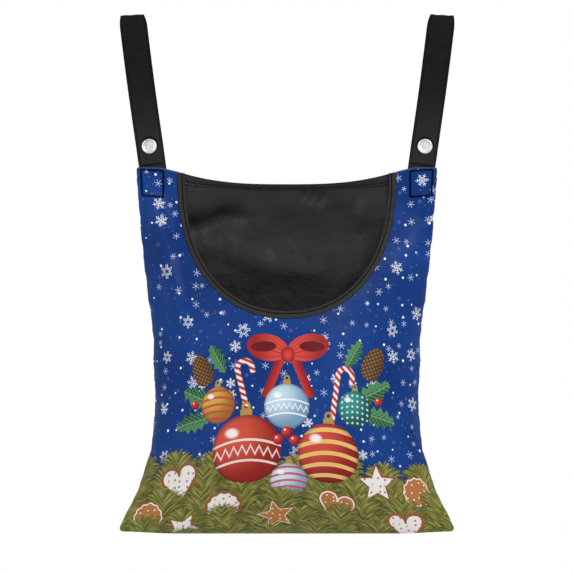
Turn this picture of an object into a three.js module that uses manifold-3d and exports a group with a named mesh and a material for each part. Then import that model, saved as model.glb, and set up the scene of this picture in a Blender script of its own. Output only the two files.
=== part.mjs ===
// A peg bag that hangs on a clothesline by two strap loops, each closed by a press stud.
// Millimetres, +Z up. The printed front faces -Y, and +X is to the right of a person who looks at it.
// The origin is where the line bears: level with the inside tops of the loops, midway between them.
import * as THREE from "three";
import { mergeVertices } from "three/addons/utils/BufferGeometryUtils.js";
import Module from "manifold-3d";

const wasm = await Module();
wasm.setup();

// Straps: one strip of webbing each, sewn into a corner of the bag, folded over the line and studded down.
const strapWidth = 25;
const strapThickness = 1.5;
const strapSpacing = 292.8;
const strapLean = THREE.MathUtils.degToRad(7.4);
const strapDrop = 144.2;
const strapTail = 29;
const frontLeafLength = 135;
const leafCornerRadius = 0.8;
const loopGap = 8;
const flatAboveStud = 10;
const foldSteps = 10;

// Press studs: a cap and a socket on the front leaf, a stud and a rear post on the back leaf.
const studDrop = 124;
const capRadius = 7.6;
const capHeight = 2.1;
const capRim = 1.5;
const capDish = 0.5;
const socketRadius = 6;
const socketDepth = 1.4;
const socketFloor = 0.4;
const socketMouth = 2.5;
const studRadius = 6;
const studPlate = 0.9;
const studNeck = 1.5;
const studHead = 2;
const studHeadHeight = 0.6;
const postRadius = 5;
const postPlate = 0.8;
const shankRadius = 1.4;
const turnedSides = 20;

// Cloth: the two panels of the bag, the binding of its mouth and the hem of its back.
const panelThickness = 1.2;
const bagHeight = 346;
const waistWidth = 249;
const bottomWidth = 316;
const cornerMargin = 1.5;
const cornerWidth = 43.8;
const cornerFall = 3.8;
const frontSwell = 60;
const backSwell = 26;
const backSag = 11.5;
const mouthStraight = 24;
const mouthRound = 111;
const bindingWidth = 7.2;
const bindingThickness = 0.8;
const hemHeight = 9;
const hemThickness = 0.8;
const seamGap = 0.15;

// Sewn boxes that hold the straps' tails.
const boxWidth = 20;
const boxHeight = 24;
const boxInset = 3;
const boxRadius = 1;
const threadWidth = 1;
const threadThickness = 0.5;

// Clearance between pieces that lie on each other.
const clearance = 0.3;

// Shape of the cloth, as shares of the sizes above. Heights run from 0 at the bag's top to 1 at its bottom.
const waistShare = 0.66;
const flareExponentShare = 1.8;
const swellHeightShare = 0.64;
const lensExponentShare = 0.8;
const footExponentShare = 2.2;
const flatCornerShare = 0.085;
const easeShare = 0.16;
const flatWidthShares = [0.45, 0.72];
const sagExponentShare = 2.2;
const mouthExponentShare = 2.05;
const mouthSideShare = 0.62;
const sideSpreadShare = 1.25;
const sideSteps = 15;
const bottomSteps = 16;
const acrossSteps = 7;
const backColumns = 24;
const backRows = 14;

// Values that follow from the sizes.
const foldRadius = (loopGap + strapThickness) / 2;
const studStack = socketDepth + studPlate + 3 * clearance;
const backPlane = -foldRadius + strapThickness + studStack;
const topHeight = -strapDrop * Math.cos(strapLean);
const bottomHeight = topHeight - bagHeight;
const strapAtBag = strapSpacing / 2 - strapDrop * Math.sin(strapLean);
const topHalfWidth = strapAtBag + strapWidth / 2 / Math.cos(strapLean) + cornerMargin;
const mouthHalfWidth = topHalfWidth - cornerWidth;
const cornerSeparation = strapThickness / 2 + clearance + bindingThickness / 2;

const black = { roughness: 0.85, metalness: 0 };
const materials = {
  print: new THREE.MeshStandardMaterial({ color: 0x17356e, roughness: 0.8, metalness: 0 }),
  lining: new THREE.MeshStandardMaterial({ color: 0x2b2b2d, ...black }),
  binding: new THREE.MeshStandardMaterial({ color: 0x333336, ...black }),
  webbing: new THREE.MeshStandardMaterial({ color: 0x212122, ...black }),
  thread: new THREE.MeshStandardMaterial({ color: 0x0c1024, roughness: 0.7, metalness: 0 }),
  snap: new THREE.MeshStandardMaterial({ color: 0xd2d2d2, roughness: 0.35, metalness: 1 }),
};

// Turns a geometry's faces outwards, where its signed volume says that they point in.
function outward(geometry) {
  const positions = geometry.toNonIndexed().getAttribute("position");
  const [a, b, c] = [new THREE.Vector3(), new THREE.Vector3(), new THREE.Vector3()];
  let volume = 0;
  for (let i = 0; i < positions.count; i += 3) {
    a.fromBufferAttribute(positions, i);
    b.fromBufferAttribute(positions, i + 1);
    c.fromBufferAttribute(positions, i + 2);
    volume += a.dot(b.cross(c));
  }
  if (volume < 0) {
    const order = geometry.index.array;
    for (let i = 0; i < order.length; i += 3) {
      [order[i + 1], order[i + 2]] = [order[i + 2], order[i + 1]];
    }
  }
  return geometry;
}

function geometryOf(points, faces) {
  const geometry = new THREE.BufferGeometry().setFromPoints(points);
  geometry.setIndex(faces.flat());
  return outward(geometry);
}

function solidOf(geometry) {
  const bare = geometry.clone();
  bare.deleteAttribute("normal");
  bare.deleteAttribute("uv");
  const merged = mergeVertices(bare);
  const vertProperties = merged.getAttribute("position").array;
  const triVerts = new Uint32Array(merged.index.array);
  return new wasm.Manifold(new wasm.Mesh({ numProp: 3, vertProperties, triVerts }));
}

function cut(geometry, tool) {
  const mesh = solidOf(geometry).subtract(solidOf(tool)).getMesh();
  const result = new THREE.BufferGeometry();
  result.setAttribute("position", new THREE.BufferAttribute(mesh.vertProperties, mesh.numProp));
  result.setIndex(Array.from(mesh.triVerts));
  return result;
}

function named(name, geometry, material) {
  geometry.computeVertexNormals();
  const mesh = new THREE.Mesh(geometry, material);
  mesh.name = name;
  return mesh;
}

const smooth = (low, high, value) => THREE.MathUtils.smoothstep(value, low, high);

// The bag's outline: half its width at a share of its height, drawn in at the waist and flared at the foot.
function halfWidthAt(height) {
  const waist = waistWidth / 2;
  if (height < waistShare) {
    return waist + ((topHalfWidth - waist) * (1 + Math.cos((Math.PI * height) / waistShare))) / 2;
  }
  const flare = (height - waistShare) / (1 - waistShare);
  return waist + (bottomWidth / 2 - waist) * flare ** flareExponentShare;
}

// How far the cloth stands out from the plane of the seams, as a share of its full swell: nothing in the
// sewn corners, most below the mouth, and nothing again at the bottom seam.
function swellAt(x, z) {
  const height = (topHeight - z) / bagHeight;
  const side = Math.min(Math.abs(x) / halfWidthAt(height), 1);
  const rise = Math.max(0, Math.min(height / swellHeightShare, 1));
  const foot = Math.max(0, Math.min((height - swellHeightShare) / (1 - swellHeightShare), 1));
  const above = 1 - (1 - rise) ** 2;
  const upright = height < swellHeightShare ? above : (1 - foot ** footExponentShare) ** lensExponentShare;
  const free = smooth(flatCornerShare, flatCornerShare + easeShare, height);
  const corner = 1 - (1 - free) * smooth(...flatWidthShares, side);
  return upright * (1 - side ** 2) ** lensExponentShare * corner;
}

// Half the space between the panels' inner faces where they are sewn: wider at the corners, round the tails.
function separationAt(z) {
  const height = (topHeight - z) / bagHeight;
  const closed = smooth(flatCornerShare, flatCornerShare + easeShare, height);
  return THREE.MathUtils.lerp(cornerSeparation, seamGap, closed);
}

function onFront(x, z) {
  const depth = separationAt(z) + panelThickness / 2 + frontSwell * swellAt(x, z);
  return new THREE.Vector3(x, backPlane - depth, z);
}

function onBack(x, z) {
  const depth = separationAt(z) + panelThickness / 2 + backSwell * swellAt(x, z);
  return new THREE.Vector3(x, backPlane + depth, z);
}

// A closed sheet of even thickness on a grid of points, at an offset from them along the grid's normal.
function sheetOn(grid, thickness, offset = 0) {
  const rows = grid.length;
  const columns = grid[0].length;
  const at = (i, j) => grid[Math.max(0, Math.min(rows - 1, i))][Math.max(0, Math.min(columns - 1, j))];
  const points = [];
  for (const side of [-1, 1]) {
    for (let i = 0; i < rows; i++) {
      for (let j = 0; j < columns; j++) {
        const along = at(i + 1, j).clone().sub(at(i - 1, j));
        const across = at(i, j + 1).clone().sub(at(i, j - 1));
        const normal = along.cross(across).normalize();
        points.push(grid[i][j].clone().addScaledVector(normal, offset + (side * thickness) / 2));
      }
    }
  }
  const index = (side, i, j) => (side * rows + i) * columns + j;
  const faces = [];
  const quad = (a, b, c, d) => faces.push([a, b, c], [a, c, d]);
  for (let i = 0; i < rows - 1; i++) {
    for (let j = 0; j < columns - 1; j++) {
      quad(index(0, i, j), index(0, i, j + 1), index(0, i + 1, j + 1), index(0, i + 1, j));
      quad(index(1, i, j), index(1, i + 1, j), index(1, i + 1, j + 1), index(1, i, j + 1));
    }
    quad(index(0, i, 0), index(0, i + 1, 0), index(1, i + 1, 0), index(1, i, 0));
    const last = columns - 1;
    quad(index(0, i + 1, last), index(0, i, last), index(1, i, last), index(1, i + 1, last));
  }
  for (let j = 0; j < columns - 1; j++) {
    quad(index(0, 0, j + 1), index(0, 0, j), index(1, 0, j), index(1, 0, j + 1));
    const last = rows - 1;
    quad(index(0, last, j), index(0, last, j + 1), index(1, last, j + 1), index(1, last, j));
  }
  return geometryOf(points, faces);
}

// The cut edge of the mouth, from the left corner's top round to the right corner's top.
function mouthCurve() {
  const straightEnd = topHeight - cornerFall - mouthStraight;
  const round = (value) => Math.sign(value) * Math.abs(value) ** (2 / mouthExponentShare);
  const points = [];
  for (const rise of [mouthStraight, mouthStraight / 2]) {
    points.push(new THREE.Vector2(-mouthHalfWidth, straightEnd + rise));
  }
  for (let step = 0; step <= bottomSteps; step++) {
    const angle = (Math.PI * step) / bottomSteps;
    const across = -mouthHalfWidth * round(Math.cos(angle));
    points.push(new THREE.Vector2(across, straightEnd - mouthRound * round(Math.sin(angle))));
  }
  for (const rise of [mouthStraight / 2, mouthStraight]) {
    points.push(new THREE.Vector2(mouthHalfWidth, straightEnd + rise));
  }
  return new THREE.SplineCurve(points);
}

// Stations round the mouth. Each has its place on the cut edge, the place one binding's width out from it,
// and the place on the bag's outline that it faces: down one side, along the bottom and up the other.
function mouthStations() {
  const curve = mouthCurve();
  const total = 2 * sideSteps + bottomSteps;
  const stations = [];
  for (let i = 0; i <= total; i++) {
    const mirrored = i > total / 2;
    const k = mirrored ? total - i : i;
    const sign = mirrored ? 1 : -1;
    const onSide = Math.min(k / sideSteps, 1);
    const onBottom = Math.max(0, (k - sideSteps) / (bottomSteps / 2));
    const run = (mouthSideShare * onSide + (1 - mouthSideShare) * onBottom) / 2;
    const edge = curve.getPointAt(run);
    const tangent = curve.getTangentAt(run);
    const ended = k === 0;
    const away = ended ? new THREE.Vector2(-1, 0) : new THREE.Vector2(tangent.y, -tangent.x);
    const bound = edge.clone().addScaledVector(away, bindingWidth);
    const drop = onSide ** sideSpreadShare;
    const outline = new THREE.Vector2(-halfWidthAt(drop) * (1 - onBottom), topHeight - bagHeight * drop);
    const place = (point) => new THREE.Vector2(-sign * point.x, point.y);
    stations.push({ edge: place(edge), bound: place(bound), outline: place(outline) });
  }
  return stations;
}

function frontPanel(stations) {
  const grid = stations.map(({ edge, bound, outline }) => {
    const row = [onFront(edge.x, edge.y)];
    for (let j = 0; j <= acrossSteps; j++) {
      const point = bound.clone().lerp(outline, j / acrossSteps);
      row.push(onFront(point.x, point.y));
    }
    return row;
  });
  return named("front_panel", sheetOn(grid, panelThickness), materials.print);
}

// The height of the back panel's top edge, which sags between the straps.
function backEdgeAt(x) {
  const out = Math.min(Math.abs(x) / strapAtBag, 1);
  const beyond = Math.max(0, Math.abs(x) - mouthHalfWidth) / cornerWidth;
  return topHeight - cornerFall * smooth(0, 1, 1 - beyond) - backSag * (1 - out ** sagExponentShare);
}

// The back panel's columns as shares of its half width, closer together towards the sides.
function backShares() {
  const steps = Array.from({ length: backColumns + 1 }, (_, i) => (2 * i) / backColumns - 1);
  return steps.map((step) => Math.sin((step * Math.PI) / 2));
}

function backPanel() {
  const grid = [];
  for (const across of backShares()) {
    const hemmed = backEdgeAt(across * topHalfWidth) - hemHeight;
    const row = [onBack(across * topHalfWidth, hemmed + hemHeight)];
    for (let j = 0; j <= backRows; j++) {
      const z = THREE.MathUtils.lerp(hemmed, bottomHeight, j / backRows);
      row.push(onBack(across * halfWidthAt((topHeight - z) / bagHeight), z));
    }
    grid.push(row);
  }
  return named("back_panel", sheetOn(grid, panelThickness), materials.lining);
}

// The hem: the back panel's top edge turned in and sewn down, from one strap to the other.
function backHem() {
  const leaning = strapWidth / 2 / Math.cos(strapLean) + 2 * hemHeight * Math.tan(strapLean);
  const reach = strapAtBag - leaning - clearance;
  const inward = -(panelThickness + hemThickness) / 2 - clearance;
  const inside = backShares().map((share) => share * topHalfWidth).filter((x) => Math.abs(x) < reach);
  const grid = [-reach, ...inside, reach].map((x) => {
    const top = backEdgeAt(x);
    return [onBack(x, top), onBack(x, top - hemHeight)];
  });
  return named("back_hem", sheetOn(grid, hemThickness, inward), materials.lining);
}

// The binding: tape folded over the cut edge of the mouth, as a channel with the panel's edge in its groove.
function mouthBinding(stations) {
  const groove = panelThickness / 2 + clearance;
  const face = groove + bindingThickness;
  const back = -clearance - bindingThickness;
  const reach = bindingWidth + back;
  const section = [
    [reach, groove],
    [reach, face],
    [back, face],
    [back, -face],
    [reach, -face],
    [reach, -groove],
    [-clearance, -groove],
    [-clearance, groove],
  ];
  const edges = stations.map(({ edge }) => onFront(edge.x, edge.y));
  const points = [];
  stations.forEach(({ bound }, i) => {
    const out = onFront(bound.x, bound.y).sub(edges[i]).normalize();
    const before = edges[Math.max(i - 1, 0)];
    const after = edges[Math.min(i + 1, edges.length - 1)];
    const normal = after.clone().sub(before).cross(out).normalize();
    for (const [along, off] of section) {
      points.push(edges[i].clone().addScaledVector(out, along).addScaledVector(normal, off));
    }
  });
  const count = section.length;
  const faces = [];
  for (let i = 0; i < stations.length - 1; i++) {
    for (let j = 0; j < count; j++) {
      const [a, b] = [i * count + j, i * count + ((j + 1) % count)];
      faces.push([a, b, b + count], [a, b + count, a + count]);
    }
  }
  const outline = section.map(([x, y]) => new THREE.Vector2(x, y));
  const last = (stations.length - 1) * count;
  for (const [a, b, c] of THREE.ShapeUtils.triangulateShape(outline, [])) {
    faces.push([a, c, b], [last + a, last + b, last + c]);
  }
  return named("mouth_binding", geometryOf(points, faces), materials.binding);
}

// A strip of even thickness along a line of [y, z] points, extruded to the strap's width.
function stripAlong(line) {
  const middle = line.map(([y, z]) => new THREE.Vector2(y, z));
  const offset = (side) =>
    middle.map((point, i) => {
      const before = middle[Math.max(i - 1, 0)];
      const after = middle[Math.min(i + 1, middle.length - 1)];
      const tangent = after.clone().sub(before).normalize();
      return new THREE.Vector2(-tangent.y, tangent.x).multiplyScalar((side * strapThickness) / 2).add(point);
    });
  const shape = new THREE.Shape([...offset(1), ...offset(-1).reverse()]);
  const geometry = new THREE.ExtrudeGeometry(shape, { depth: strapWidth, bevelEnabled: false });
  const [y, z, x] = [new THREE.Vector3(0, 1, 0), new THREE.Vector3(0, 0, 1), new THREE.Vector3(1, 0, 0)];
  geometry.applyMatrix4(new THREE.Matrix4().makeBasis(y, z, x));
  return geometry.translate(-strapWidth / 2, 0, 0);
}

// A hole along Y through both leaves, for the shanks of the press stud.
function shankHole() {
  const length = 2 * (loopGap + strapThickness);
  const radius = shankRadius + clearance;
  const hole = new THREE.CylinderGeometry(radius, radius, length, turnedSides);
  return hole.translate(0, 0, -studDrop);
}

// The back leaf stands in the bag's corner, rises past the stud, leans back and folds over the line.
function strapBack(side) {
  const line = [
    [backPlane, -strapDrop - strapTail],
    [backPlane, -studDrop + studRadius + flatAboveStud],
  ];
  for (let step = 0; step <= foldSteps; step++) {
    const angle = (Math.PI * step) / foldSteps;
    line.push([foldRadius * Math.cos(angle), -loopGap / 2 + foldRadius * Math.sin(angle)]);
  }
  return named(`${side}_strap_back`, cut(stripAlong(line), shankHole()), materials.webbing);
}

// The front leaf hangs plumb from the end of the fold.
function strapFront(side) {
  const top = -loopGap / 2 - clearance;
  const bottom = -loopGap / 2 - frontLeafLength;
  const half = strapWidth / 2;
  const shape = new THREE.Shape();
  shape.moveTo(-half, top);
  shape.lineTo(-half, bottom + leafCornerRadius);
  shape.quadraticCurveTo(-half, bottom, -half + leafCornerRadius, bottom);
  shape.lineTo(half - leafCornerRadius, bottom);
  shape.quadraticCurveTo(half, bottom, half, bottom + leafCornerRadius);
  shape.lineTo(half, top);
  shape.closePath();
  const options = { depth: strapThickness, bevelEnabled: false, curveSegments: 3 };
  const geometry = new THREE.ExtrudeGeometry(shape, options).rotateX(Math.PI / 2);
  geometry.translate(0, strapThickness / 2 - foldRadius, 0);
  return named(`${side}_strap_front`, cut(geometry, shankHole()), materials.webbing);
}

// A turned piece on the stud's axis. Its profile lists [radius, y].
function turned(name, profile) {
  const points = profile.map(([radius, y]) => new THREE.Vector2(radius, y));
  const geometry = mergeVertices(strippedOf(new THREE.LatheGeometry(points, turnedSides)));
  return named(name, outward(geometry.translate(0, 0, -studDrop)), materials.snap);
}

function strippedOf(geometry) {
  geometry.deleteAttribute("normal");
  geometry.deleteAttribute("uv");
  return geometry;
}

function pressStudFront(side) {
  const face = -foldRadius - strapThickness / 2;
  const inner = face + strapThickness;
  const base = face - clearance;
  const cap = [
    [0, inner],
    [shankRadius, inner],
    [shankRadius, base],
    [capRadius, base],
    [capRadius, base - capHeight / 3],
    [capRadius - capRim / 3, base - capHeight],
    [capRadius - capRim, base - capHeight],
    [capRadius - 2 * capRim, base - capHeight + capDish],
    [0, base - capHeight + capDish / 2],
  ];
  const socket = [
    [0, inner + clearance],
    [socketRadius, inner + clearance],
    [socketRadius, inner + clearance + socketDepth],
    [socketMouth, inner + clearance + socketDepth],
    [socketMouth, inner + clearance + socketFloor],
    [0, inner + clearance + socketFloor],
  ];
  const pieces = { cap, socket };
  return Object.entries(pieces).map(([piece, profile]) => turned(`${side}_snap_${piece}`, profile));
}

function pressStudBack(side) {
  const face = backPlane - strapThickness / 2;
  const base = face - clearance;
  const top = base - studPlate;
  const tip = top - clearance - (socketDepth - socketFloor) + clearance;
  const stud = [
    [0, base],
    [studRadius, base],
    [studRadius, top],
    [studNeck, top],
    [studNeck, tip + studHeadHeight],
    [studHead, tip + studHeadHeight],
    [studHead, tip],
    [0, tip],
  ];
  const rear = backPlane + strapThickness / 2;
  const post = [
    [0, face],
    [shankRadius, face],
    [shankRadius, rear + clearance],
    [postRadius, rear + clearance],
    [postRadius, rear + clearance + postPlate],
    [0, rear + clearance + postPlate],
  ];
  const pieces = { stud, post };
  return Object.entries(pieces).map(([piece, profile]) => turned(`${side}_snap_${piece}`, profile));
}

// The sewn box of thread: one ring on the printed corner, and one behind it on the back panel.
function cornerStitch(side, face, outwards) {
  const ring = new THREE.Shape();
  const outline = (path, inset) => {
    const [x, z, r] = [boxWidth / 2 - inset, boxHeight / 2 - inset, boxRadius];
    path.moveTo(-x + r, -z);
    path.lineTo(x - r, -z);
    path.quadraticCurveTo(x, -z, x, -z + r);
    path.lineTo(x, z - r);
    path.quadraticCurveTo(x, z, x - r, z);
    path.lineTo(-x + r, z);
    path.quadraticCurveTo(-x, z, -x, z - r);
    path.lineTo(-x, -z + r);
    path.quadraticCurveTo(-x, -z, -x + r, -z);
  };
  outline(ring, 0);
  const inner = new THREE.Path();
  outline(inner, threadWidth);
  ring.holes.push(inner);
  const options = { depth: threadThickness, bevelEnabled: false, curveSegments: 2 };
  const geometry = new THREE.ExtrudeGeometry(ring, options).rotateX(Math.PI / 2);
  const near = outwards < 0 ? 0 : threadThickness;
  const offset = cornerSeparation + panelThickness + clearance;
  geometry.translate(0, backPlane + outwards * offset + near, -strapDrop - boxInset - boxHeight / 2);
  return named(`${side}_corner_stitch_${face}`, geometry, materials.thread);
}

const bag = new THREE.Group();
const stations = mouthStations();
bag.add(frontPanel(stations), backPanel(), mouthBinding(stations), backHem());
for (const [side, sign] of Object.entries({ left: -1, right: 1 })) {
  const strap = new THREE.Group();
  strap.position.x = (sign * strapSpacing) / 2;
  strap.rotation.y = sign * strapLean;
  strap.add(strapBack(side), strapFront(side), ...pressStudFront(side), ...pressStudBack(side));
  strap.add(cornerStitch(side, "front", -1), cornerStitch(side, "back", 1));
  bag.add(strap);
}

export default bag;
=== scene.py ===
# Peg bag: a flat cloth pouch that hangs on a washing line by two black straps, each closed with a press stud.
# The file goes through the bag as it is sewn together: printed front, black back, hem, mouth binding, straps,
# corner stitches and press studs. Lengths are metres, with X to the right, Y to the back and Z up.
import math
import bpy
import numpy as np
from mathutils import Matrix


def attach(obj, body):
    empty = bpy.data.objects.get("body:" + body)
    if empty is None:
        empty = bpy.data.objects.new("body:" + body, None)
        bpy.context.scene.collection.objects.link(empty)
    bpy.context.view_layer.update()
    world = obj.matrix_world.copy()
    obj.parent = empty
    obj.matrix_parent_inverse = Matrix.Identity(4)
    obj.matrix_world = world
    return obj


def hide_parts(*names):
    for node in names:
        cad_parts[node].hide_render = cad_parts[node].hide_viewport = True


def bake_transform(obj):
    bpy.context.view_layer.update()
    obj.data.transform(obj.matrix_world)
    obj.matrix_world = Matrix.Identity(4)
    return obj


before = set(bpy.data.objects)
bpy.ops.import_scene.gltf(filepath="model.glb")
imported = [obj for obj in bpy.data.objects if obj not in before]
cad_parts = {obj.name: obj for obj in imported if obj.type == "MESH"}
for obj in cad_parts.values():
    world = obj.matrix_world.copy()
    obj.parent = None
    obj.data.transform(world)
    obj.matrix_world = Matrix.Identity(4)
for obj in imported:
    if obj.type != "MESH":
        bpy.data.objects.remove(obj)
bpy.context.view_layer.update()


# Camera: square to the front of the bag, level with its middle, far off with a long lens.
camera_distance = 3.0
view_x = -0.0003
view_z = -0.2558
view_width = 0.5420
bpy.ops.object.camera_add(location=(view_x, -camera_distance, view_z), rotation=(math.pi / 2, 0, 0))
camera = bpy.context.object
camera.data.lens = camera.data.sensor_width * camera_distance / view_width
bpy.context.scene.camera = camera


# Printed front: one panel of thin polyester cloth, printed, with its mouth cut out as a deep round U.
# It is sewn to the back along both sides and the bottom, inside out, and then turned, so its edges are
# round folds. The belly stands forward, and the lining shows on its inner side.
cloth_thickness = 0.0010
bag_top = -0.1430
bag_bottom = -0.4895
top_half_width = 0.14193
waist_half_width = 0.1245
waist_share = 0.66
strap_pinch = -0.1515
bottom_half_width = 0.1580
mouth_half_width = 0.0976
mouth_straight = 0.006
mouth_depth = 0.1251
mouth_bend = 2 / 2.2
corner_fall = 0.0056
seam_plane = -0.00005
gap_at_tails = 0.00145
gap_below_tails = 0.00015
skin_out = 0.0012
turned_in = 0.0011
turning = 0.0016
front_belly = 0.060
fullest_share = 0.64


def smooth_step(low, high, value):
    """0 below the low value and 1 above the high one, with a smooth rise between them."""
    share = np.clip((value - low) / (high - low), 0, 1)
    return share * share * (3 - 2 * share)


def fall_share(z):
    """How far down the bag a height is, from 0 at its top to 1 at its bottom."""
    return np.clip((bag_top - z) / (bag_top - bag_bottom), 0, 1)


def half_width(z):
    """Half the width of the bag: it draws in to a waist and flares to the bottom corners."""
    share = fall_share(z)
    above = waist_half_width + (top_half_width - waist_half_width) * (
        1 + np.cos(np.pi * np.minimum(share / waist_share, 1))
    ) / 2
    flare = np.clip((share - waist_share) / (1 - waist_share), 0, 1) ** 1.8
    below = waist_half_width + (bottom_half_width - waist_half_width) * flare
    return np.where(share < waist_share, above, below)


def side_edge(z):
    """The finished side seam: uneven, with a few pinches, and rounded at its corners."""
    share = fall_share(z)
    edge = half_width(z) + 0.0002
    for wider, start, end in (
        (-0.0013, 0.03, 0.10), (0.0016, 0.46, 0.58), (0.0006, 0.72, 0.84), (0.0012, 0.84, 0.96),
    ):
        edge = edge + wider * smooth_step(start, end, share)
    for pinch, where, size in (
        (0.0008, 0.44, 0.05), (0.0013, 0.613, 0.018), (0.0017, 0.776, 0.018), (0.0009, 0.874, 0.020),
    ):
        edge = edge - pinch * np.exp(-(((share - where) / size) ** 2))
    edge = edge - 0.0006 * np.exp(-(((z - strap_pinch) / 0.0012) ** 2))
    wave = 0.00032 * np.sin(z * 211 + 1.0) + 0.00016 * np.sin(z * 437) + 0.00008 * np.sin(z * 911 + 2)
    edge = edge + wave * smooth_step(0, 0.02, z - bag_bottom) * smooth_step(0, 0.08, share)
    for radius, off in ((0.0058, z - bag_bottom), (0.0022, bag_top - z)):
        inside = np.clip(radius - off, 0, radius)
        edge = edge - (radius - np.sqrt(radius ** 2 - inside ** 2))
    return edge


def top_edge(x):
    """Height of the front panel's own top edge, which falls a little towards the mouth."""
    return bag_top - corner_fall * np.clip(1 - (np.abs(x) - mouth_half_width) / 0.023, 0, 1) ** 1.05


def settle_top(x, z):
    """Height of a point of the front once the panel's top edge lies along its own line."""
    outward = np.clip((np.abs(x) - mouth_half_width) / (top_half_width - mouth_half_width), 0, 1)
    straight = bag_top - corner_fall * (1 - outward)
    return z + (top_edge(x) - straight) * (1 - smooth_step(0.0, 0.020, straight - z))


def past_tails(z):
    """0 where the strap tails lie between the two panels, and 1 below them."""
    return smooth_step(0.085, 0.245, fall_share(z))


def swell(x, z):
    """How far a panel bellies out at a place, from 0 at its seams to 1 at its fullest point."""
    share = fall_share(z)
    aside = np.minimum(np.abs(x) / side_edge(z), 1)
    rise = 1 - (1 - np.clip(share / fullest_share, 0, 1)) ** 2
    foot = (1 - np.clip((share - fullest_share) / (1 - fullest_share), 0, 1) ** 2.2) ** 0.8
    held = 1 - (1 - past_tails(z)) * smooth_step(0.45, 0.72, aside)
    return np.where(share < fullest_share, rise, foot) * (1 - aside ** 2) ** 0.8 * held


def gap(z):
    """Distance from the seam plane to each panel: the strap tails lie between them at the top corners."""
    return gap_at_tails + (gap_below_tails - gap_at_tails) * past_tails(z)


def fold(x, z, start, end, width, height):
    """A soft ridge in the cloth along a line, or a hollow where its height is negative."""
    along = np.array(end) - np.array(start)
    length = np.hypot(*along)
    along = along / length
    place = (x - start[0]) * along[0] + (z - start[1]) * along[1]
    off = (x - start[0]) * along[1] - (z - start[1]) * along[0]
    ends = smooth_step(-0.25 * length, 0.25 * length, place)
    ends = ends * (1 - smooth_step(0.75 * length, 1.25 * length, place))
    return height * ends * np.exp(-((off / width) ** 2))


def off_seam(x, z):
    """How far in from the nearest seam a place is."""
    return np.minimum(side_edge(z) - np.abs(x), z - bag_bottom)


def turn_in(x, z, top):
    """How far the cloth turns in towards the seam, close to its folded edges."""
    near = 1 - np.clip(np.minimum(off_seam(x, z), top - z) / turning, 0, 1)
    return (gap(z) + turned_in) * (1 - np.sqrt(1 - near ** 2))


def creased(x, z, creases):
    """Several folds together, each given by its start, end, width and height."""
    return sum(fold(x, z, *crease) for crease in creases)


def puckers(x, z, pitch_z, swing_z, slow_z, pitch_x, slow_x):
    """The small puckers that a seam draws into the cloth beside it."""
    height = 1.4 + np.sin(z * pitch_z + swing_z * np.sin(z * slow_z) + np.sign(x))
    height = height + 0.6 * np.sin(x * pitch_x + 2 * np.sin(x * slow_x))
    edge = off_seam(x, z)
    return 0.00045 * height * smooth_step(0.0010, 0.005, edge) * (1 - smooth_step(0.006, 0.028, edge))


front_creases = (
    ((-0.1300, -0.1680), (-0.1010, -0.2800), 0.0105, 0.0080),
    ((-0.1020, -0.2900), (-0.0820, -0.3800), 0.0150, 0.0024),
    ((-0.1050, -0.1900), (-0.0900, -0.2700), 0.0100, -0.0018),
    ((0.1210, -0.1900), (0.1000, -0.3000), 0.0130, 0.0016),
    ((0.1120, -0.3000), (0.0600, -0.3800), 0.0100, 0.0010),
    ((-0.1150, -0.3500), (-0.1350, -0.4500), 0.0080, 0.0014),
    ((0.1130, -0.3600), (0.1380, -0.4600), 0.0080, 0.0014),
    ((-0.0700, -0.3000), (-0.1000, -0.4000), 0.0100, -0.0010),
    ((-0.0600, -0.4300), (-0.1000, -0.4780), 0.0070, 0.0012),
    ((0.0500, -0.4350), (0.0900, -0.4790), 0.0070, 0.0012),
)


def front_folds(x, z):
    """The folds of the front: long soft ones down from the straps, puckers at the seams, and unevenness."""
    edge = off_seam(x, z)
    lift = creased(x, z, front_creases) * smooth_step(0.0010, 0.0110, edge)
    lift = lift + puckers(x, z, 285, 2.5, 61, 240, 47)
    uneven = np.sin(x * 97 + 3 * np.sin(z * 31)) * np.sin(z * 71 + 2 * np.sin(x * 43 + 1))
    return lift + 0.00035 * uneven * smooth_step(0.004, 0.02, edge)


def front_skin(x, z, out):
    """A layer of the front panel, so far out from the gap behind it, before its edges turn in."""
    face = seam_plane - gap(z) - out - front_belly * swell(x, z)
    return face - front_folds(x, z) * smooth_step(0.02, 0.12, fall_share(z))


def front_face(x, z):
    """The front panel's outer face."""
    return front_skin(x, z, skin_out) + turn_in(x, z, top_edge(x))


def corners_up(points):
    """Draws the bottom corners of a panel up a little, as the finished seam does."""
    points = points.copy()
    aside = smooth_step(0.105, 0.160, np.abs(points[..., 0]))
    points[..., 2] += 0.0020 * aside * (1 - smooth_step(0.0, 0.05, points[..., 2] - bag_bottom))
    return points


def cloth_arc(x, z, face, across):
    """Length along the cloth from the middle line (across) or from the bag's top to each point."""
    total = np.zeros_like(x)
    steps = 40
    last = None
    for step in range(steps + 1):
        part = step / steps
        if across:
            place, height = x * part, z
        else:
            place, height = x, bag_top + (z - bag_top) * part
        depth = face(place, height)
        if last is not None:
            run = x / steps if across else (z - bag_top) / steps
            total += np.sign(run) * np.hypot(run, depth - last)
        last = depth
    return total


def flat_pattern(x, z, belly):
    """Where each point of a bellied panel lies on its flat pattern, in millimetres."""

    def bulge(aside, height):
        return belly * swell(aside, height)

    across = 1000 * cloth_arc(x, z, bulge, True)
    up = 1000 * (bag_top + cloth_arc(x, z, bulge, False))
    return np.stack([across, up], axis=-1)


def path_length(path):
    """Length along a path up to each of its points."""
    return np.concatenate([[0], np.cumsum(np.hypot(*np.diff(path, axis=0).T))])


def resample(points, shares):
    """Points at shares of a line's length."""
    length = path_length(points)
    length = length / length[-1]
    return np.array([[np.interp(s, length, points[:, k]) for k in (0, 1)] for s in shares])


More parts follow.
